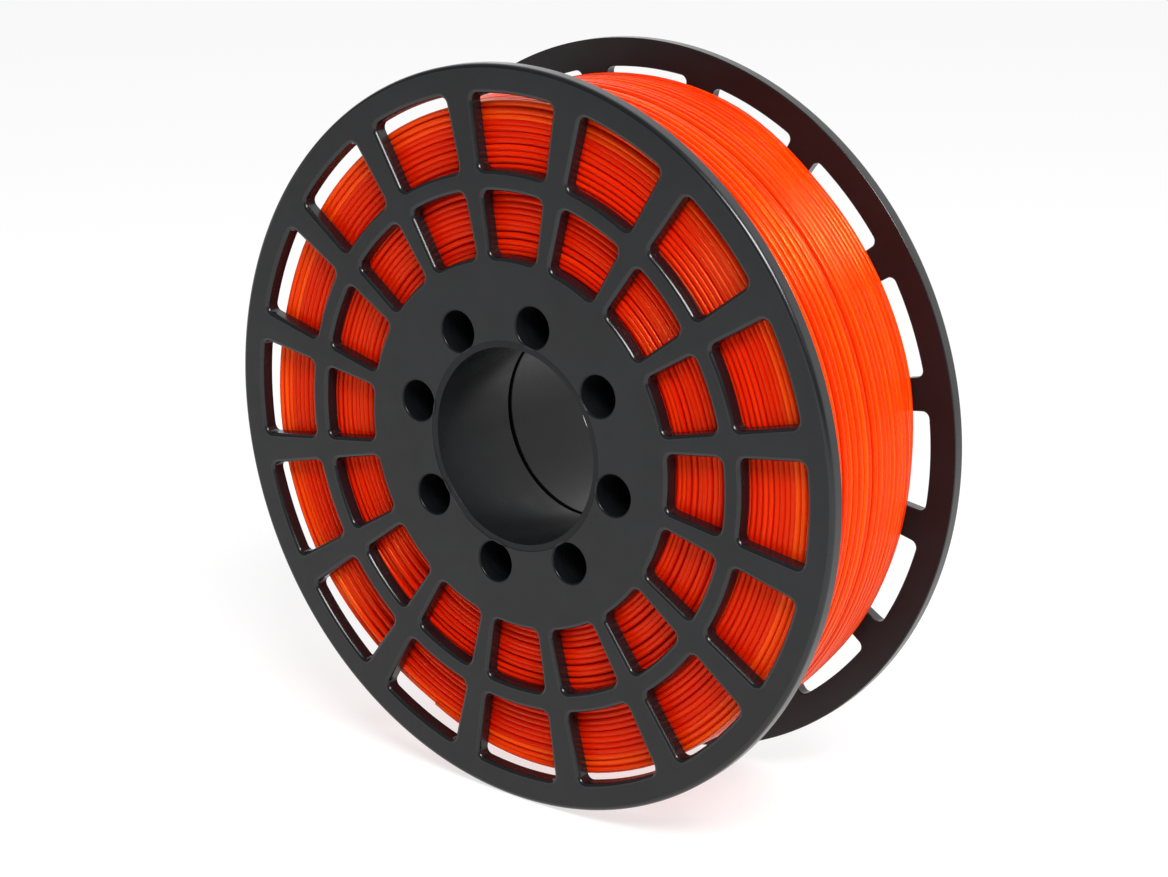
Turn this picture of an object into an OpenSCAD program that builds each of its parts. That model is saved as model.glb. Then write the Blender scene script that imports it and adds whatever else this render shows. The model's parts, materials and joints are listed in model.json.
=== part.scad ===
// Spool of 3-D printer filament: two equal plastic mouldings, one turned over
// and pressed into the other, with a strand wound on the barrel between them.
// The axis is Y, the origin is the middle of the bore and +Z is up.

/* [Spool] */
// Diameter over the flanges
spool_d = 200; // [190:1:210]
// Width over both flanges
spool_w = 60; // [50:1:80]
// Thickness of each flange
flange_t = 4; // [3:0.1:5]
// Radius of the rounded outer edges of each flange
edge_r = 1.2; // [0.4:0.1:1.4]

/* [Flange windows] */
// Number of spokes, and of windows in each of the two rows
spoke_count = 16; // [16, 24, 32]
// Part of each step round the flange that a window takes
window_share = 0.755; // [0.5:0.005:0.8]
// Diameter inside the rim, where the outer windows end
rim_in_d = 184.8; // [178:0.2:185]
// Diameter outside the middle ring, where the outer windows begin
ring_out_d = 145.6; // [140:0.2:150]
// Diameter inside the middle ring, where the inner windows end
ring_in_d = 134.8; // [125:0.2:136]
// Diameter of the hub disc, where the inner windows begin
hub_d = 100.4; // [98:0.2:105]
// Radius of the windows' corners
corner_r = 2; // [0.5:0.1:3]

/* [Hub] */
// Diameter of the bore that runs on the spindle
bore_d = 53; // [50:0.5:54]
// Radius of the rounded mouth of the bore
mouth_r = 1.5; // [0.2:0.1:1.7]
// Wall of the sleeve round the bore
sleeve_wall = 1.5; // [1:0.1:1.7]
// Width of the seam between the two sleeves
seam_w = 1.4; // [0.4:0.1:2]
// Number of drive holes round the bore
hole_count = 8; // [4, 8]
// Diameter of the drive holes
hole_d = 11; // [9:0.1:11]
// Diameter of the circle that the drive holes lie on
hole_pcd = 67.6; // [67.6:0.1:70]
// Outer diameter of the barrel that carries the winding
barrel_d = 95; // [92:0.5:97]
// Wall of the barrel
barrel_wall = 2; // [1.5:0.1:2.5]

/* [Joining pegs] */
// Wall of the tube behind each drive hole
boss_wall = 1.8; // [1.5:0.1:2.2]
// Length of a peg beyond the parting plane
peg_l = 8; // [4:1:12]
// Length of a peg's root inside its own tube
peg_root_l = 10; // [6:1:14]
// Inner diameter of a peg
peg_in_d = 7; // [5:0.1:8]
// Radial clearance of a peg in the other moulding's tube
peg_gap = 0.05; // [0.03:0.01:0.1]

/* [Filament] */
// Outer diameter of the winding
winding_d = 182; // [110:1:182]
// Space between the winding and the mouldings round it
winding_gap = 0.35; // [0.3:0.05:1]

/* [Hidden] */
$fn = 180;
flange_r = spool_d / 2;
half_w = spool_w / 2;
rim_in_r = rim_in_d / 2;
ring_out_r = ring_out_d / 2;
ring_in_r = ring_in_d / 2;
hub_r = hub_d / 2;
bore_r = bore_d / 2;
sleeve_r = bore_r + sleeve_wall;
hole_r = hole_d / 2;
barrel_r = barrel_d / 2;
// Angles of one spoke step and of one drive hole step
spoke_step = 360 / spoke_count;
hole_step = 360 / hole_count;
// Half the angle of a window
window_a = spoke_step * window_share / 2;
// The spokes are parted from the rings just beyond the windows' rounded corners
cut = corner_r + 0.2;
// The two barrels stop this far short of each other
barrel_seam = 0.4;
// Radial ribs between the sleeve and the barrel
rib_t = 2;
rib_setback = 8;
// Chamfer at the tip of a peg
tip_l = 1;
tip_in = 0.6;
// Straight steps in a window's curved sides and in its corners
side_steps = 10;
corner_steps = 5;
// How far a cut runs past the face that it goes through
through = 1;

charcoal = [0.13, 0.14, 0.15];
orange = [0.93, 0.25, 0.04];

// ---- Outlines ----

module annulus(r_in, r_out) {
    difference() {
        circle(r_out);
        circle(r_in);
    }
}

function arc_points(centre, r, from, to, steps) = [
    for (i = [0:steps])
        let (a = from + (to - from) * i / steps) centre + r * [cos(a), sin(a)]
];

function without_ends(points) = [for (i = [1:len(points) - 2]) points[i]];

// A window: a ring sector with rounded corners, walked round from its outer arc
module window(r_in, r_out) {
    inner_a = window_a - asin(corner_r / (r_in + corner_r));
    outer_a = window_a - asin(corner_r / (r_out - corner_r));
    inner = (r_in + corner_r) * [cos(inner_a), sin(inner_a)];
    outer = (r_out - corner_r) * [cos(outer_a), sin(outer_a)];
    polygon(concat(
        without_ends(arc_points([0, 0], r_out, -outer_a, outer_a, side_steps)),
        arc_points(outer, corner_r, outer_a, 90 + window_a, corner_steps),
        arc_points(inner, corner_r, 90 + window_a, 180 + inner_a, corner_steps),
        without_ends(arc_points([0, 0], r_in, inner_a, -inner_a, side_steps)),
        arc_points([inner.x, -inner.y], corner_r, 180 - inner_a, 270 - window_a, corner_steps),
        arc_points([outer.x, -outer.y], corner_r, 270 - window_a, 360 - outer_a, corner_steps)));
}

module window_row(r_in, r_out) {
    for (i = [0:spoke_count - 1]) rotate(i * spoke_step) window(r_in, r_out);
}

// ---- One moulding: outer face at Z = 0, parting plane at Z = half_w ----

module tube(r_in, r_out, z_from, z_to) {
    translate([0, 0, z_from]) linear_extrude(z_to - z_from) annulus(r_in, r_out);
}

// Places children at every drive hole, or at every second one for the pegs
module at_holes(first = 0, every = 1) {
    for (i = [first:every:hole_count - 1])
        rotate(hole_step / 4 + i * hole_step) translate([hole_pcd / 2, 0, 0]) children();
}

module outer_window_cut() {
    translate([0, 0, -through]) linear_extrude(flange_t + 2 * through)
        window_row(ring_out_r, rim_in_r);
}

module inner_window_cut() {
    translate([0, 0, -through]) linear_extrude(flange_t + 2 * through)
        window_row(hub_r, ring_in_r);
}

module rim() {
    flat_r = flange_r - edge_r;
    difference() {
        rotate_extrude() {
            translate([rim_in_r - cut, 0]) square([flat_r - rim_in_r + cut, flange_t]);
            translate([flat_r, edge_r]) square([edge_r, flange_t - 2 * edge_r]);
            for (z = [edge_r, flange_t - edge_r]) translate([flat_r, z]) circle(edge_r);
        }
        outer_window_cut();
    }
}

module outer_spokes() {
    difference() {
        tube(ring_out_r + cut, rim_in_r - cut, 0, flange_t);
        outer_window_cut();
    }
}

module middle_ring() {
    difference() {
        tube(ring_in_r - cut, ring_out_r + cut, 0, flange_t);
        outer_window_cut();
        inner_window_cut();
    }
}

module inner_spokes() {
    difference() {
        tube(hub_r + cut, ring_in_r - cut, 0, flange_t);
        inner_window_cut();
    }
}

module hub_disc() {
    mouth_out = bore_r + mouth_r;
    difference() {
        rotate_extrude() {
            translate([mouth_out, 0]) square([hub_r + cut - mouth_out, flange_t]);
            translate([bore_r, mouth_r]) square([mouth_r, flange_t - mouth_r]);
            translate([mouth_out, mouth_r]) circle(mouth_r);
        }
        inner_window_cut();
        at_holes() translate([0, 0, -through]) cylinder(h = flange_t + 2 * through, r = hole_r);
    }
}

module bore_sleeve() {
    tube(bore_r, sleeve_r, flange_t, half_w - seam_w / 2);
}

module barrel() {
    tube(barrel_r - barrel_wall, barrel_r, flange_t, half_w - barrel_seam / 2);
}

// Tubes that carry the drive holes through; the sleeve takes their inner side
module peg_tubes() {
    difference() {
        at_holes() tube(hole_r, hole_r + boss_wall, flange_t, half_w);
        cylinder(h = spool_w, r = sleeve_r);
    }
}

// Hollow pegs in every second tube, which enter the free tubes of the other moulding
module pegs(first = 0) {
    tip_z = half_w + peg_l;
    peg_r = hole_r - peg_gap;
    at_holes(first, every = 2) difference() {
        union() {
            translate([0, 0, half_w - peg_root_l]) cylinder(h = peg_root_l, r = hole_r);
            translate([0, 0, half_w]) cylinder(h = peg_l - tip_l, r = peg_r);
            translate([0, 0, tip_z - tip_l]) cylinder(h = tip_l, r1 = peg_r, r2 = peg_r - tip_in);
        }
        translate([0, 0, half_w - peg_root_l - through])
            cylinder(h = peg_root_l + peg_l + 2 * through, d = peg_in_d);
    }
}

// Webs between the sleeve and the barrel, half way between the drive holes
module ribs() {
    rib_l = half_w - rib_setback - flange_t;
    intersection() {
        tube(sleeve_r, barrel_r - barrel_wall, flange_t, flange_t + rib_l);
        for (i = [0:hole_count - 1])
            rotate(hole_step * (i + 3 / 4)) translate([0, -rib_t / 2, flange_t])
                cube([barrel_r, rib_t, rib_l]);
    }
}

// ---- Places of the two mouldings ----

module front() {
    color(charcoal) translate([0, -half_w, 0]) rotate([-90, 0, 0]) children();
}

// The same moulding turned over, which without its pegs is its own mirror image
module rear() {
    mirror([0, 1, 0]) front() children();
}

// ---- Sub-parts ----

module front_rim() { front() rim(); }
module front_outer_spokes() { front() outer_spokes(); }
module front_middle_ring() { front() middle_ring(); }
module front_inner_spokes() { front() inner_spokes(); }
module front_hub_disc() { front() hub_disc(); }
module front_bore_sleeve() { front() bore_sleeve(); }
module front_barrel() { front() barrel(); }
module front_peg_tubes() { front() peg_tubes(); }
module front_pegs() { front() pegs(); }
module front_ribs() { front() ribs(); }

module rear_rim() { rear() rim(); }
module rear_outer_spokes() { rear() outer_spokes(); }
module rear_middle_ring() { rear() middle_ring(); }
module rear_inner_spokes() { rear() inner_spokes(); }
module rear_hub_disc() { rear() hub_disc(); }
module rear_bore_sleeve() { rear() bore_sleeve(); }
module rear_barrel() { rear() barrel(); }
module rear_peg_tubes() { rear() peg_tubes(); }
module rear_pegs() { rear() pegs(first = 1); }
module rear_ribs() { rear() ribs(); }

// The wound strand's envelope, against the rear flange and clear of the front moulding
module filament_winding() {
    front_y = -half_w + flange_t + winding_gap;
    color(orange) translate([0, front_y, 0]) rotate([-90, 0, 0])
        tube(barrel_r + winding_gap, winding_d / 2, 0, half_w - flange_t - front_y);
}

front_rim();
front_outer_spokes();
front_middle_ring();
front_inner_spokes();
front_hub_disc();
front_bore_sleeve();
front_barrel();
front_peg_tubes();
front_pegs();
front_ribs();
rear_rim();
rear_outer_spokes();
rear_middle_ring();
rear_inner_spokes();
rear_hub_disc();
rear_bore_sleeve();
rear_barrel();
rear_peg_tubes();
rear_pegs();
rear_ribs();
filament_winding();
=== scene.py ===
"""Filament spool: two open-flanged plastic mouldings with an orange strand wound between them.

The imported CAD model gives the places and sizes. Each moulding's flange and sleeve are rebuilt
here with rounded lips, and the turns that show on the closed spool are rebuilt as strand.
"""

import json
import math

import bmesh
import bpy
import numpy as np
from mathutils import Matrix, Vector


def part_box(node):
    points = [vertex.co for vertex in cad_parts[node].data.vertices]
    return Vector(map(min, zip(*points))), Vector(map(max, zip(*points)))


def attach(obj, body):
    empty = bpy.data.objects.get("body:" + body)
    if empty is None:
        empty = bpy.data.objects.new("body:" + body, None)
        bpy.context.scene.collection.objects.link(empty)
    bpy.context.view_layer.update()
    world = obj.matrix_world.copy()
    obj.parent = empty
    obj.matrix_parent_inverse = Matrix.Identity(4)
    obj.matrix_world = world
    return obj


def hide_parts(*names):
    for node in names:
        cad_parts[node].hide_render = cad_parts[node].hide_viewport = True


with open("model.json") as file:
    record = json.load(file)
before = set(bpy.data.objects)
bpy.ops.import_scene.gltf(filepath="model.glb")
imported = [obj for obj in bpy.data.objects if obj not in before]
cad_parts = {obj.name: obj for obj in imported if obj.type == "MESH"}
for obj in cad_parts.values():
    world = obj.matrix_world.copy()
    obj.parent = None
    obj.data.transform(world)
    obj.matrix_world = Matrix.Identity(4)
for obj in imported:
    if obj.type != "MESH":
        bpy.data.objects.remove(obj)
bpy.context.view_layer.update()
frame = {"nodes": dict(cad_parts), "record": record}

MM = 0.001


def mount(name):
    """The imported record's mount of that name."""
    return next(m for m in frame["record"]["mounts"] if m["name"] == name)


# ---- Sizes from the frame, in metres ----

RIM_LOW, RIM_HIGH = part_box("front_rim")
SPOOL_R = RIM_HIGH.x
FRONT_Y = RIM_LOW.y
FLANGE_T = RIM_HIGH.y - RIM_LOW.y
BORE_R = mount("spindle_bore")["dims"]["r_mm"] * MM
HOLES = mount("front_drive_holes")["dims"]
HOLE_R = HOLES["hole_r_mm"] * MM
HOLE_RING_R = HOLES["pcd_mm"] / 2 * MM
HOLE_COUNT = HOLES["count"]
SLEEVE_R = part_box("front_bore_sleeve")[1].x
SEAM_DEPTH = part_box("front_bore_sleeve")[1].y - FRONT_Y
BARREL_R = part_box("front_barrel")[1].x
WINDING_LOW, WINDING_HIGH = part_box("filament_winding")
WINDING_R = WINDING_HIGH.x

# ---- Sizes of the flange's windows and edges ----

SPOKES = 16
STEP = 2 * math.pi / SPOKES
WINDOW_SHARE = 0.755  # part of each step that is window
WINDOW_HALF_ANGLE = STEP * WINDOW_SHARE / 2
OUTER_WINDOW = (72.8 * MM, 92.4 * MM)
INNER_WINDOW = (50.2 * MM, 67.4 * MM)
CORNER_R = 2 * MM  # of a window's corner
LIP_R = 1.1 * MM  # of the rounded lip round a window
HOLE_LIP_R = 0.5 * MM
SLEEVE_LIP_R = 0.2 * MM
MOUTH_RING = 1.75 * MM  # width of the ring round the bore's mouth
MOUTH_STEP = 0.15 * MM  # how far the ring lies behind the flat face
RIM_LIP_R = 1.2 * MM
RIM_BACK_LIP_R = 0.3 * MM
BACK_EDGE = 0.25 * MM  # chamfer at the back of a window
DRAFT = 0.12 * MM  # how far a window's wall leans in by the back of the flange
HOLE_START = -math.pi / HOLE_COUNT / 2  # angle of the first drive hole
ARC_STEPS, CORNER_STEPS = 12, 7  # in a window's outline
SHARP_ANGLE = math.radians(35)  # edges above this stay sharp

# ---- The strand, 1.75 mm across ----

STRAND_R = 0.875 * MM
LAYERS = 26
TURNS = 23  # in each layer
SHOWN_LAYERS = 2  # whole outer layers that are made as strand
SHOWN_TURNS = 2  # turns beside each flange that are made as strand, in each layer
FIRST_LAYER_GAP = 0.45 * MM  # between the barrel and the first layer
CORE_GAP = 0.35 * MM  # between the barrel and the plain ring that stands for the inner turns
NESTING_TURNS = 3  # turns from a flange to where the layers lie in each other's grooves
CROSSOVER = 0.13  # part of each turn in which the strand steps over to its next place
CROSSOVER_ANGLE = math.radians(205)
TAIL = 0.12  # of a turn, left off the last one
TAIL_SINK = 1.5 * MM  # how far the strand's end goes in under the last layer
TAIL_SINK_RUN = 0.1  # of a turn, in which it goes in

# How far a turn strays: along the spool once and twice a turn, and in short waves; then outwards
SWAY, DOUBLE_SWAY, SHORT_SWAY = 0.32 * MM, 0.22 * MM, 0.14 * MM
LIFT, SHORT_LIFT = 0.34 * MM, 0.07 * MM

# How far the winding's top lies low beside a flange, and the degrees round the axis where it does:
# the middle, the half width and the fade beyond it
FRONT_SAG, FRONT_SAG_SPAN = 1.6 * MM, (135, 25, 35)
REAR_SAG, REAR_SAG_SPAN = 1.9 * MM, (-10, 58, 24)
REAR_DIP, REAR_DIP_SPAN = 1.5 * MM, (-22, 18, 22)  # only the last turns
SAG_START, SAG_RUN = 3 * MM, 22 * MM  # from the middle of the spool's width, along it
DIP_TURNS = 1.8  # how many turns from the rear flange the dip reaches

WOBBLE_KNOTS = 4096  # random values that a turn's straying runs through
WOBBLE_START = 7  # the first one that is used


# ---- Mesh helpers ----


def new_piece(name, mesh, body, *materials):
    """Adds a mesh as a piece that rides on a CAD body."""
    piece = bpy.data.objects.new(name, mesh)
    bpy.context.scene.collection.objects.link(piece)
    for material in materials:
        mesh.materials.append(material)
    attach(piece, body)
    return piece


def polar(r, angle):
    """A point (x, z) at radius r, at an angle from +X towards +Z."""
    return r * math.cos(angle), r * math.sin(angle)


def arc(centre, r, start, end, steps):
    """Points (x, z) along an arc, both ends included."""
    angles = [start + (end - start) * i / steps for i in range(steps + 1)]
    return [(centre[0] + r * math.cos(a), centre[1] + r * math.sin(a)) for a in angles]


def circle_outline(centre, r, steps):
    """A closed circle of points (x, z)."""
    return arc(centre, r, 0, 2 * math.pi, steps)[:-1]


def window_outline(radii, angle, grow):
    """A window's outline: a ring sector with rounded corners, grown outwards on all sides."""
    r_in, r_out = radii
    corner = CORNER_R + grow
    whole = 2 * math.pi
    side = math.pi / 2 + WINDOW_HALF_ANGLE
    inner_a = WINDOW_HALF_ANGLE - math.asin(CORNER_R / (r_in + CORNER_R))
    outer_a = WINDOW_HALF_ANGLE - math.asin(CORNER_R / (r_out - CORNER_R))
    inner_r, outer_r = r_in + CORNER_R, r_out - CORNER_R
    points = arc((0, 0), r_out + grow, -outer_a, outer_a, ARC_STEPS)[1:-1]
    points += arc(polar(outer_r, outer_a), corner, outer_a, side, CORNER_STEPS)
    points += arc(polar(inner_r, inner_a), corner, side, math.pi + inner_a, CORNER_STEPS)
    points += arc((0, 0), r_in - grow, inner_a, -inner_a, ARC_STEPS)[1:-1]
    points += arc(polar(inner_r, -inner_a), corner, math.pi - inner_a, whole - side, CORNER_STEPS)
    points += arc(polar(outer_r, -outer_a), corner, whole - side, whole - outer_a, CORNER_STEPS)
    c, s = math.cos(angle), math.sin(angle)
    return [(x * c - z * s, x * s + z * c) for x, z in points]


def quarter_round(r, steps=5):
    """(grow, depth) pairs down a rounded lip, from the flat face to the wall."""
    angles = [math.pi / 2 * i / steps for i in range(steps + 1)]
    return [(r * (1 - math.sin(a)), r * (1 - math.cos(a))) for a in angles]


def sweep(bm, outlines, material_index=0):
    """Joins outlines of equal length, lists of points (x, y, z), and returns the end loops."""
    loops = [[bm.verts.new(p) for p in outline] for outline in outlines]
    for near, far in zip(loops, loops[1:]):
        for i in range(len(near)):
            j = (i + 1) % len(near)
            face = bm.faces.new((near[i], near[j], far[j], far[i]))
            face.material_index = material_index
    return loops[0], loops[-1]


def loop_edges(bm, loop):
    """The edges round a closed loop of vertices."""
    pairs = zip(loop, loop[1:] + loop[:1])
    return [bm.edges.get(pair) or bm.edges.new(pair) for pair in pairs]


def fill_between(bm, loops):
    """Fills a flat face whose boundary is all these loops."""
    edges = [edge for loop in loops for edge in loop_edges(bm, loop)]
    bmesh.ops.triangle_fill(bm, use_beauty=True, edges=edges)


# ---- The mouldings ----

POLISHED, GLOSSY = 1, 2  # material slots; the flat faces keep slot 0, satin


def wall_profile(lip_r):
    """(grow, depth) down a cut through the flange: rounded lip, drafted wall, small back edge."""
    profile = quarter_round(lip_r)
    profile.append((-DRAFT, FLANGE_T - BACK_EDGE))
    profile.append((BACK_EDGE - DRAFT, FLANGE_T))
    return profile


def moulding_mesh():
    """The front moulding's flange and bore sleeve as one closed mesh."""
    bm = bmesh.new()
    front_loops, back_loops = [], []

    def cut(outline_of, profile, material_index):
        """Adds the wall that an outline leaves as it follows a profile through the flange."""
        rings = [[(x, FRONT_Y + depth, z) for x, z in outline_of(grow)] for grow, depth in profile]
        first, last = sweep(bm, rings, material_index)
        front_loops.append(first)
        back_loops.append(last)

    walls = wall_profile(LIP_R)
    for i in range(SPOKES):
        for radii in (OUTER_WINDOW, INNER_WINDOW):
            cut(lambda grow, a=i * STEP, r=radii: window_outline(r, a, grow), walls, GLOSSY)
    for i in range(HOLE_COUNT):
        centre = polar(HOLE_RING_R, HOLE_START + i * 2 * math.pi / HOLE_COUNT)
        profile = quarter_round(HOLE_LIP_R) + [(0, FLANGE_T)]
        cut(lambda grow, c=centre: circle_outline(c, HOLE_R + grow, steps=48), profile, POLISHED)

    rim = [(-grow, depth) for grow, depth in quarter_round(RIM_LIP_R)]
    rim += [(-grow, FLANGE_T - depth) for grow, depth in reversed(quarter_round(RIM_BACK_LIP_R))]
    cut(lambda grow: circle_outline((0, 0), SPOOL_R + grow, steps=384), rim, GLOSSY)

    ring = [(MOUTH_RING + MOUTH_STEP, 0), (MOUTH_RING, MOUTH_STEP)]
    mouth = [(grow, MOUTH_STEP + depth) for grow, depth in quarter_round(SLEEVE_LIP_R)]
    seam = [(grow, SEAM_DEPTH - depth) for grow, depth in reversed(quarter_round(SLEEVE_LIP_R))]
    outside = [(SLEEVE_R - BORE_R, SEAM_DEPTH), (SLEEVE_R - BORE_R, FLANGE_T)]
    sleeve = ring + mouth + seam + outside
    cut(lambda grow: circle_outline((0, 0), BORE_R + grow, steps=160), sleeve, POLISHED)

    fill_between(bm, front_loops)
    fill_between(bm, back_loops)
    bmesh.ops.recalc_face_normals(bm, faces=bm.faces)
    mesh = bpy.data.meshes.new("moulding")
    bm.to_mesh(mesh)
    bm.free()
    mesh.shade_smooth()
    mesh.set_sharp_from_angle(angle=SHARP_ANGLE)
    return mesh


def make_moulding(side, mesh, body, *materials):
    """One moulding, standing for its flange's and sleeve's CAD nodes."""
    piece = new_piece(side + "_moulding", mesh, body, *materials)
    normals = piece.modifiers.new("flat faces stay flat", "WEIGHTED_NORMAL")
    normals.keep_sharp = True
    normals.weight = 100
    parts = ("rim", "outer_spokes", "middle_ring", "inner_spokes", "hub_disc", "bore_sleeve")
    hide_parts(*[side + "_" + part for part in parts])


# ---- The winding ----

STRAND_FRONT_Y = WINDING_LOW.y + STRAND_R
STRAND_REAR_Y = WINDING_HIGH.y - STRAND_R
FIRST_LAYER_R = BARREL_R + STRAND_R + FIRST_LAYER_GAP
TOP_LAYER_R = WINDING_R - STRAND_R
LAYER_STEP = (TOP_LAYER_R - FIRST_LAYER_R) / (LAYERS - 1)
PITCH = (STRAND_REAR_Y - STRAND_FRONT_Y) / (TURNS - 1)
FIRST_SHOWN_TURN = (LAYERS - SHOWN_LAYERS) * TURNS


def smooth(t):
    """An S-curve from 0 to 1."""
    t = np.clip(t, 0, 1)
    return t * t * (3 - 2 * t)


def wobble(turns, period, seed):
    """Smooth noise from -1 to 1 along the strand, with about one swing in each period of turns."""
    knots = np.random.default_rng(seed).uniform(-1, 1, WOBBLE_KNOTS)
    x = turns / period + WOBBLE_START
    i = np.floor(x).astype(int)
    t = smooth(x - i)
    return knots[i % WOBBLE_KNOTS] * (1 - t) + knots[(i + 1) % WOBBLE_KNOTS] * t


def place(turn):
    """Radius and y of a whole turn.

    Layer 0 runs from the front flange to the rear one, and layer 1 runs back. Away from the
    flanges, layer 1 lies in the grooves of layer 0.
    """
    layer, step = np.divmod(turn, TURNS)
    back = layer % 2
    from_front = np.where(back == 1, TURNS - 1 - step, step)
    nested = smooth(from_front / NESTING_TURNS) * smooth((TURNS - 1 - from_front) / NESTING_TURNS)
    y = STRAND_FRONT_Y + PITCH * (from_front + back * nested / 2)
    return FIRST_LAYER_R + LAYER_STEP * layer, y


def hump(angle, centre, half, fade):
    """1 within half degrees of the centre, fading to 0 over the next fade degrees."""
    off = np.abs((np.degrees(angle) - centre + 180) % 360 - 180)
    return smooth((half + fade - off) / fade)


def unevenness(angle, y):
    """How far the top of the winding lies below its full radius, towards each flange."""
    front, rear = smooth(-(y + SAG_START) / SAG_RUN), smooth((y - SAG_START) / SAG_RUN)
    last_turns = smooth((y - STRAND_REAR_Y) / PITCH + DIP_TURNS)
    return (FRONT_SAG * hump(angle, *FRONT_SAG_SPAN) * front
            + REAR_SAG * hump(angle, *REAR_SAG_SPAN) * rear
            + REAR_DIP * hump(angle, *REAR_DIP_SPAN) * last_turns)


def strand_path(turns):
    """The strand's centre line: (angle, radius, y) at each number of turns from its start."""
    whole = np.floor(turns)
    step = smooth((turns - whole - 1) / CROSSOVER + 1)
    r0, y0 = place(whole)
    r1, y1 = place(whole + 1)
    r, y = r0 + (r1 - r0) * step, y0 + (y1 - y0) * step
    angle = CROSSOVER_ANGLE - 2 * math.pi * turns
    y = y + SWAY * wobble(turns, period=3.5, seed=1) * np.sin(angle + 0.6)
    y = y + DOUBLE_SWAY * wobble(turns, period=2.6, seed=2) * np.sin(2 * angle + 2.1)
    y = y + SHORT_SWAY * wobble(turns, period=0.47, seed=3)
    y = np.clip(y, STRAND_FRONT_Y, STRAND_REAR_Y)
    r = r - unevenness(angle, y) * (r - BARREL_R) / (WINDING_R - BARREL_R)
    r = (r + LIFT * wobble(turns, period=1.1, seed=4)
         + SHORT_LIFT * wobble(turns, period=0.38, seed=5))
    return angle, r, y


def strand_tube(first_turn, last_turn, steps_a_turn, sides, sink=0.0):
    """Vertices and faces of the strand between two turns. sink lowers its end."""
    count = max(2, round((last_turn - first_turn) * steps_a_turn))
    turns = np.linspace(first_turn, last_turn, count + 1)
    angle, r, y = strand_path(turns)
    r = r - sink * np.clip((turns - last_turn) / TAIL_SINK_RUN + 1, 0, 1) ** 2
    round_a = np.arange(sides) / sides * 2 * math.pi
    ring_r = r[:, None] + STRAND_R * np.cos(round_a)
    ring_y = y[:, None] + STRAND_R * np.sin(round_a)
    c, s = np.cos(angle)[:, None], np.sin(angle)[:, None]
    verts = np.stack([ring_r * c, ring_y, ring_r * s], -1).reshape(-1, 3)
    i = np.arange(count)[:, None] * sides
    j = np.arange(sides)
    k = (j + 1) % sides
    quads = np.stack([i + j, i + sides + j, i + sides + k, i + k], -1).reshape(-1, 4).tolist()
    last = count * sides
    caps = [list(range(sides)), list(range(last, last + sides))[::-1]]
    return verts, quads + caps


def strand_mesh(name, stretches):
    """One mesh of several stretches of the strand."""
    verts, faces, offset = [], [], 0
    for stretch_verts, stretch_faces in stretches:
        verts.append(stretch_verts)
        faces += [[v + offset for v in face] for face in stretch_faces]
        offset += len(stretch_verts)
    mesh = bpy.data.meshes.new(name)
    mesh.from_pydata(np.concatenate(verts).tolist(), [], faces)
    mesh.shade_smooth()
    return mesh


def end_turns(at_front):
    """The turns beside one flange: each place where the strand turns back over the last layer."""
    stretches = []
    for turn in range(0 if at_front else TURNS, FIRST_SHOWN_TURN, 2 * TURNS):
        first = max(turn - SHOWN_TURNS, 0)
        stretches.append(strand_tube(first, turn + SHOWN_TURNS, steps_a_turn=120, sides=10))
    return stretches


def core_mesh():
    """The inner turns, as one plain lathed ring. It shows only while the front half is off."""
    back = (SHOWN_TURNS - 0.5) * PITCH + STRAND_R
    low_y, high_y = STRAND_FRONT_Y + back, STRAND_REAR_Y - back
    low_r = BARREL_R + CORE_GAP
    high_r = FIRST_LAYER_R + LAYER_STEP * (LAYERS - SHOWN_LAYERS - 1)
    corners = [(low_r, low_y), (high_r, low_y), (high_r, high_y), (low_r, high_y)]
    bm = bmesh.new()
    rings = []
    for r, y in corners + corners[:1]:
        rings.append([(x, y, z) for x, z in circle_outline((0, 0), r, steps=180)])
    sweep(bm, rings)
    bmesh.ops.remove_doubles(bm, verts=bm.verts, dist=1e-7)
    bmesh.ops.recalc_face_normals(bm, faces=bm.faces)
    mesh = bpy.data.meshes.new("winding_core")
    bm.to_mesh(mesh)
    bm.free()
    mesh.shade_smooth()
    mesh.set_sharp_from_angle(angle=SHARP_ANGLE)
    return mesh


def outer_turns():
    """The whole outer layers, to the strand's end."""
    first, last = FIRST_SHOWN_TURN - SHOWN_TURNS, LAYERS * TURNS - TAIL
    return [strand_tube(first, last, steps_a_turn=144, sides=12, sink=TAIL_SINK)]


def make_winding(body, outside, shaded_inside):
    """The wound strand: its outer layers, its turns beside each flange, and its plain middle."""
    pieces = [
        new_piece("strand_outer_layers", strand_mesh("outer", outer_turns()), body, outside),
        # The turns beside the flanges and the plain inner turns take a darker, redder copy of the
        # filament: painted shade of the strand lying deep behind the windows
        new_piece("strand_turns_at_front", strand_mesh("front", end_turns(True)), body, shaded_inside),
        new_piece("strand_turns_at_rear", strand_mesh("rear", end_turns(False)), body, shaded_inside),
        new_piece("strand_inner_turns", core_mesh(), body, shaded_inside),
    ]
    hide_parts("filament_winding")


# ---- Materials ----

STREAK_STRETCH = 0.04  # how much more slowly the strand's shade changes along it than across it


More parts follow.
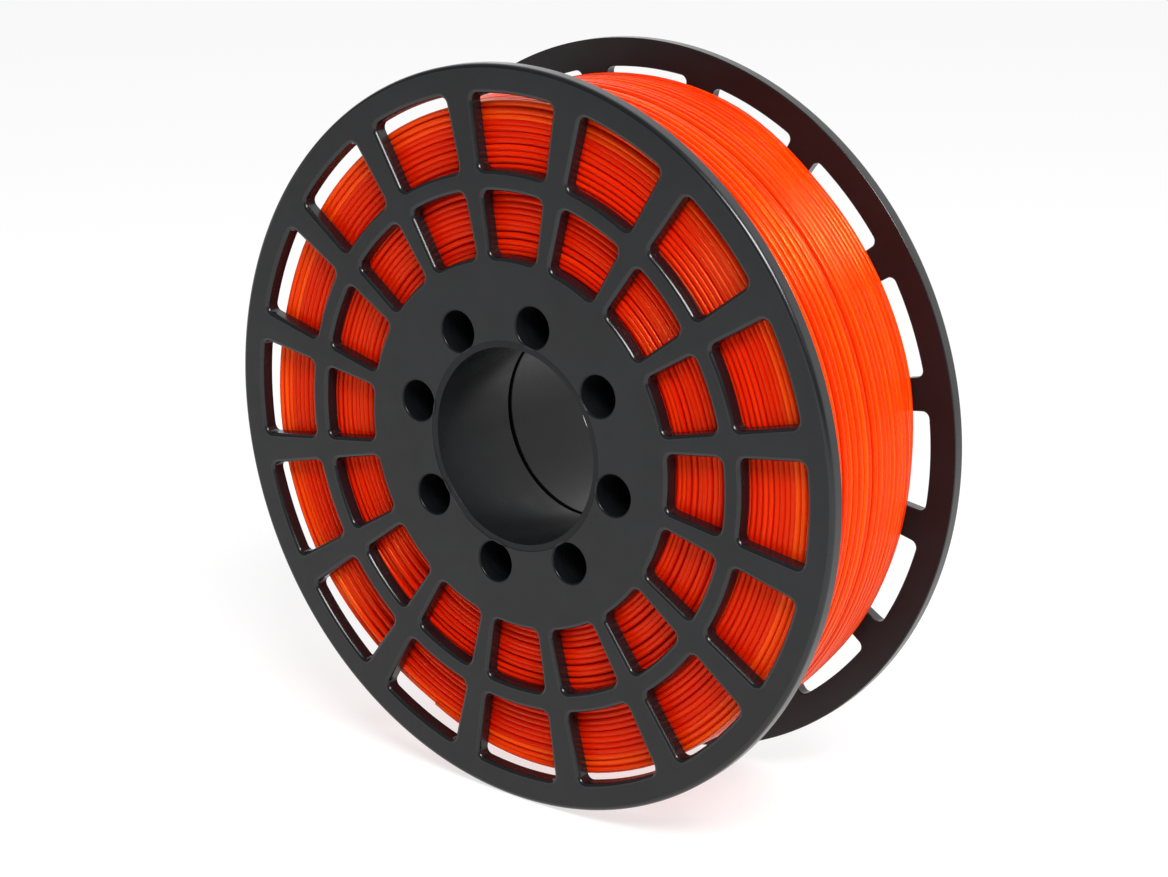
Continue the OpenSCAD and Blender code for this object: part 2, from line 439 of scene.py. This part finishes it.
class Shader:
    """A node material with one Principled shader."""

    def __init__(self, name, **values):
        self.material = bpy.data.materials.new(name)
        self.material.use_nodes = True
        self.nodes = self.material.node_tree.nodes
        self.links = self.material.node_tree.links
        self.shader = self.nodes["Principled BSDF"]
        self.object_space = self.nodes.new("ShaderNodeTexCoord").outputs["Object"]
        for socket, value in values.items():
            self.shader.inputs[socket.replace("_", " ")].default_value = value

    def along_strand(self):
        """Coordinates that change quickly across the strand's turns and slowly along them."""
        split = self.nodes.new("ShaderNodeSeparateXYZ")
        self.links.new(self.object_space, split.inputs[0])
        flat = self.nodes.new("ShaderNodeVectorMath")
        flat.operation = "MULTIPLY"
        flat.inputs[1].default_value = (1, 0, 1)
        self.links.new(self.object_space, flat.inputs[0])
        radius = self.nodes.new("ShaderNodeVectorMath")
        radius.operation = "LENGTH"
        self.links.new(flat.outputs["Vector"], radius.inputs[0])
        slow = self.nodes.new("ShaderNodeMath")
        slow.operation = "MULTIPLY"
        slow.inputs[1].default_value = STREAK_STRETCH
        self.links.new(split.outputs["X"], slow.inputs[0])
        joined = self.nodes.new("ShaderNodeCombineXYZ")
        self.links.new(radius.outputs["Value"], joined.inputs["X"])
        self.links.new(split.outputs["Y"], joined.inputs["Y"])
        self.links.new(slow.outputs["Value"], joined.inputs["Z"])
        return joined.outputs["Vector"]

    def noise(self, size, detail, space=None):
        """Noise whose features are about size metres across, in object space or another one."""
        node = self.nodes.new("ShaderNodeTexNoise")
        node.inputs["Scale"].default_value = 1 / size
        node.inputs["Detail"].default_value = detail
        self.links.new(space or self.object_space, node.inputs["Vector"])
        return node.outputs["Fac"]

    def ramp(self, value, *stops):
        """A colour ramp through (position, colour) stops."""
        node = self.nodes.new("ShaderNodeValToRGB")
        elements = node.color_ramp.elements
        while len(elements) < len(stops):
            elements.new(0.5)
        for element, (position, colour) in zip(elements, stops):
            element.position = position
            element.color = (*colour, 1)
        self.links.new(value, node.inputs["Fac"])
        return node.outputs["Color"]

    def spread(self, value, low, high, from_low=0.3, from_high=0.7):
        """Maps a value's middle range to low..high."""
        node = self.nodes.new("ShaderNodeMapRange")
        node.inputs["From Min"].default_value = from_low
        node.inputs["From Max"].default_value = from_high
        node.inputs["To Min"].default_value = low
        node.inputs["To Max"].default_value = high
        self.links.new(value, node.inputs["Value"])
        return node.outputs["Result"]

    def mix(self, factor, a, b):
        """Mixes two colours."""
        node = self.nodes.new("ShaderNodeMix")
        node.data_type = "RGBA"
        for socket, value in (("Factor", factor), ("A", a), ("B", b)):
            target = next(i for i in node.inputs if i.name == socket and
                          i.type == ("VALUE" if socket == "Factor" else "RGBA"))
            if isinstance(value, tuple):
                target.default_value = (*value, 1)
            else:
                self.links.new(value, target)
        return next(o for o in node.outputs if o.type == "RGBA")

    def bump(self, height, strength, distance, under=None):
        """A bump over another one, from a height value."""
        node = self.nodes.new("ShaderNodeBump")
        node.inputs["Strength"].default_value = strength
        node.inputs["Distance"].default_value = distance
        self.links.new(height, node.inputs["Height"])
        if under:
            self.links.new(under, node.inputs["Normal"])
        return node.outputs["Normal"]

    def use(self, socket, value):
        """Drives one of the Principled shader's sockets."""
        self.links.new(value, self.shader.inputs[socket])


def charcoal_plastic(name, roughness, grain, gloss):
    """Injection-moulded charcoal plastic, with faint flow marks, fine grain and a little dust."""
    s = Shader(name, Specular_IOR_Level=gloss)
    flow = s.noise(22 * MM, 3.0)
    plastic = s.ramp(flow, (0.35, (0.0045, 0.0048, 0.0058)), (0.65, (0.0065, 0.007, 0.0085)))
    dust = s.spread(s.noise(0.9 * MM, 1.0), 0.0, 0.3, from_low=0.78, from_high=0.86)
    s.use("Base Color", s.mix(dust, plastic, (0.06, 0.063, 0.066)))
    s.use("Roughness", s.spread(s.noise(6 * MM, 4.0), roughness - 0.04, roughness + 0.05))
    waves = s.bump(s.noise(14 * MM, 1.0), strength=0.4, distance=0.04 * MM)
    fine = s.noise(0.35 * MM, 3.0)
    s.use("Normal", s.bump(fine, strength=grain, distance=0.02 * MM, under=waves))
    return s.material


def orange_filament(name, gloss, dark, light):
    """Glossy, slightly translucent orange strand, whose shade changes a little along it."""
    s = Shader(name, IOR=1.45, Specular_IOR_Level=gloss, Specular_Tint=(1.0, 0.62, 0.16, 1.0),
               Subsurface_Weight=0.6, Subsurface_Scale=0.6 * MM)
    s.shader.inputs["Subsurface Radius"].default_value = (1.0, 0.12, 0.02)
    s.use("Roughness", s.spread(s.noise(3.0 * MM, 2.0), 0.14, 0.19))
    streaks = s.along_strand()
    shade = s.noise(1.5 * MM, 2.0, streaks)
    s.use("Base Color", s.ramp(shade, (0.36, dark), (0.64, light)))
    dents = s.noise(2.0 * MM, 1.0, streaks)
    s.use("Normal", s.bump(dents, strength=0.1, distance=0.02 * MM))
    return s.material


# ---- The object ----

satin = charcoal_plastic("satin_charcoal_plastic", roughness=0.42, grain=0.3, gloss=0.38)
polished = charcoal_plastic("polished_charcoal_plastic", roughness=0.3, grain=0.12, gloss=0.22)
glossy = charcoal_plastic("glossy_charcoal_plastic", roughness=0.24, grain=0.12, gloss=0.5)
orange = orange_filament("orange_filament", gloss=0.48,
                         dark=(0.77, 0.028, 0.0003), light=(0.88, 0.068, 0.0005))
# A darker, redder, less glossy copy of the same filament for the turns seen through the windows:
# painted shade, since the real strand is one colour throughout
shaded_orange = orange_filament("orange_filament_painted_shade", gloss=0.3,
                              dark=(0.64, 0.009, 0.0002), light=(0.74, 0.02, 0.0003))

front_mesh = moulding_mesh()
rear_mesh = front_mesh.copy()
rear_mesh.transform(Matrix.Diagonal((1, -1, 1, 1)))
rear_mesh.flip_normals()
make_moulding("front", front_mesh, "front_half", satin, polished, glossy)
make_moulding("rear", rear_mesh, "rear_half", satin, polished, glossy)
make_winding("rear_half", orange, shaded_orange)

for side in ("front", "rear"):
    for part in ("barrel", "peg_tubes", "pegs", "ribs"):
        node = frame["nodes"][side + "_" + part]
        node.data.materials.clear()
        node.data.materials.append(polished if part == "pegs" else satin)

# ---- Floor, light and camera ----

FLOOR_HALF = 6.0  # metres
FLOOR_GLOW = 0.7


def make_floor():
    """A plain white floor that the spool stands on."""
    mesh = bpy.data.meshes.new("floor")
    corners = [(-1, -1), (1, -1), (1, 1), (-1, 1)]
    verts = [(x * FLOOR_HALF, y * FLOOR_HALF, -SPOOL_R) for x, y in corners]
    mesh.from_pydata(verts, [], [(0, 1, 2, 3)])
    floor = bpy.data.objects.new("floor", mesh)
    bpy.context.scene.collection.objects.link(floor)
    s = Shader("white_floor", Base_Color=(0.35, 0.35, 0.35, 1), Roughness=0.9,
               Specular_IOR_Level=0.0)
    s.shader.inputs["Emission Color"].default_value = (1, 1, 1, 1)
    s.shader.inputs["Emission Strength"].default_value = FLOOR_GLOW
    mesh.materials.append(s.material)


def make_softbox(name, direction, distance, size, power):
    """A rectangular soft light that faces the spool from a direction."""
    light = bpy.data.lights.new(name, "AREA")
    light.shape = "RECTANGLE"
    light.size, light.size_y = size
    light.energy = power
    lamp = bpy.data.objects.new(name, light)
    towards = Vector(direction).normalized()
    lamp.location = towards * distance
    lamp.rotation_mode = "QUATERNION"
    lamp.rotation_quaternion = towards.to_track_quat("Z", "Y")
    bpy.context.scene.collection.objects.link(lamp)


def make_world():
    """A studio that is white behind the spool and dim in front of it."""
    world = bpy.data.worlds.new("studio")
    world.use_nodes = True
    nodes, links = world.node_tree.nodes, world.node_tree.links
    direction = nodes.new("ShaderNodeTexCoord").outputs["Generated"]
    split = nodes.new("ShaderNodeSeparateXYZ")
    links.new(direction, split.inputs[0])
    level = nodes.new("ShaderNodeMapRange")
    level.interpolation_type = "SMOOTHSTEP"
    for socket, value in (("From Min", -0.3), ("From Max", 0.6), ("To Min", 0.22), ("To Max", 1.2)):
        level.inputs[socket].default_value = value
    links.new(split.outputs["Y"], level.inputs["Value"])
    links.new(level.outputs["Result"], nodes["Background"].inputs["Strength"])
    nodes["Background"].inputs["Color"].default_value = (1, 1, 1, 1)
    bpy.context.scene.world = world


def make_camera():
    """The camera at the photograph's angle."""
    azimuth, elevation = math.radians(38.73), math.radians(17.11)
    distance = 0.722
    aim = Vector((0.47, -1.01, -4.59)) * MM
    back = Vector((math.sin(azimuth) * math.cos(elevation),
                   -math.cos(azimuth) * math.cos(elevation),
                   math.sin(elevation)))
    data = bpy.data.cameras.new("camera")
    data.sensor_width = 36
    data.lens = 82.5
    data.clip_start = 0.01
    camera = bpy.data.objects.new("camera", data)
    camera.location = aim + back * distance
    camera.rotation_mode = "QUATERNION"
    camera.rotation_quaternion = back.to_track_quat("Z", "Y")
    bpy.context.scene.collection.objects.link(camera)
    bpy.context.scene.camera = camera


make_floor()
make_softbox("key_softbox", direction=(0.56, -0.42, 0.71), distance=1.1, size=(0.6, 0.32), power=14)
make_world()
make_camera()
# The plain sRGB curve keeps the floor white and the orange saturated
bpy.context.scene.view_settings.view_transform = "Standard"
